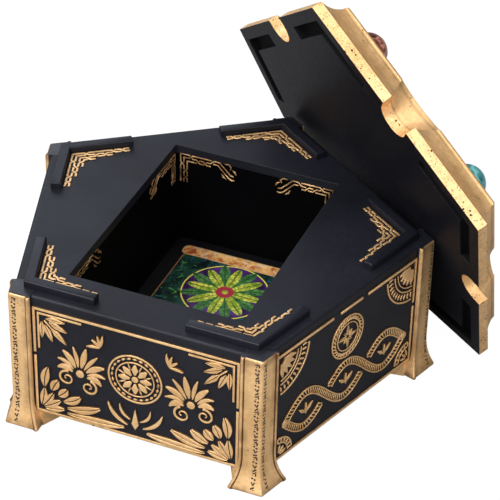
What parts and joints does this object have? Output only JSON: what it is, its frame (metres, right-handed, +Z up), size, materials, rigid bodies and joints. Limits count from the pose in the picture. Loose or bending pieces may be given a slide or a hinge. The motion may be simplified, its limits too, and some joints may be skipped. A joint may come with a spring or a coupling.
{
  "type": "card storage box",
  "caption": "Five-sided box on flared corner feet with a rectangular card well and a lift-off lid, shown leaning on its side.",
  "frame": {"origin": "on the axis of the pentagonal box, in the plane that its feet stand on", "axes": "+Z up; -Y out of the front panel; the card well's long side runs along Y; the lid leans on the side whose outward normal is 54 degrees from +X towards +Y"},
  "size_m": [0.1862, 0.1721, 0.1434],
  "materials": {
    "black_paint": "charcoal black paint on cast resin, satin, lightly brushed",
    "gold_paint": "antique gold paint on cast resin, brown wash in the hollows and small dark pits",
    "card_print": null,
    "stone_red": "polished red-brown mottled stone",
    "stone_teal": "polished teal stone",
    "stone_amber": "polished amber stone",
    "stone_violet": "polished violet stone",
    "stone_grey": "polished smoky grey stone"
  },
  "bodies": {
    "box": {"bottom_board": "black_paint", "corner_post_1": "gold_paint", "corner_post_2": "gold_paint", "corner_post_3": "gold_paint", "corner_post_4": "gold_paint", "corner_post_5": "gold_paint", "foot_block_1": "gold_paint", "foot_block_2": "gold_paint", "foot_block_3": "gold_paint", "foot_block_4": "gold_paint", "foot_block_5": "gold_paint", "side_panel_1": "black_paint", "side_panel_2": "black_paint", "side_panel_3": "black_paint", "side_panel_4": "black_paint", "side_panel_5": "black_paint", "panel_border_1": "gold_paint", "panel_border_2": "gold_paint", "panel_border_3": "gold_paint", "panel_border_4": "gold_paint", "panel_border_5": "gold_paint", "panel_medallion_1": "gold_paint", "panel_medallion_2": "gold_paint", "panel_medallion_3": "gold_paint", "panel_medallion_4": "gold_paint", "panel_medallion_5": "gold_paint", "top_plate": "black_paint", "lid_guide_1": "black_paint", "lid_guide_2": "black_paint", "lid_guide_3": "black_paint", "lid_guide_4": "black_paint", "lid_guide_5": "black_paint", "well_floor": "black_paint", "well_wall_left": "black_paint", "well_wall_right": "black_paint", "well_wall_front": "black_paint", "well_wall_back": "black_paint"},
    "lid": {"lid_board": "black_paint", "lid_top_panel": "black_paint", "lid_moulding_1": "gold_paint", "lid_moulding_2": "gold_paint", "lid_moulding_3": "gold_paint", "lid_moulding_4": "gold_paint", "lid_moulding_5": "gold_paint", "gem_setting_1": "gold_paint", "gem_setting_2": "gold_paint", "gem_setting_3": "gold_paint", "gem_setting_4": "gold_paint", "gem_setting_5": "gold_paint", "gem_1": "stone_amber", "gem_2": "stone_violet", "gem_3": "stone_red", "gem_4": "stone_teal", "gem_5": "stone_grey"},
    "card": {"card": "card_print"}
  },
  "joints": [
    {"name": "lid_lift", "type": "slide", "parent": "box", "child": "lid", "axis": [0, 0, 1], "range_m": [0, 0.12]},
    {"name": "card_lift", "type": "slide", "parent": "box", "child": "card", "axis": [0, 0, 1], "range_m": [0, 0.046]}
  ]
}
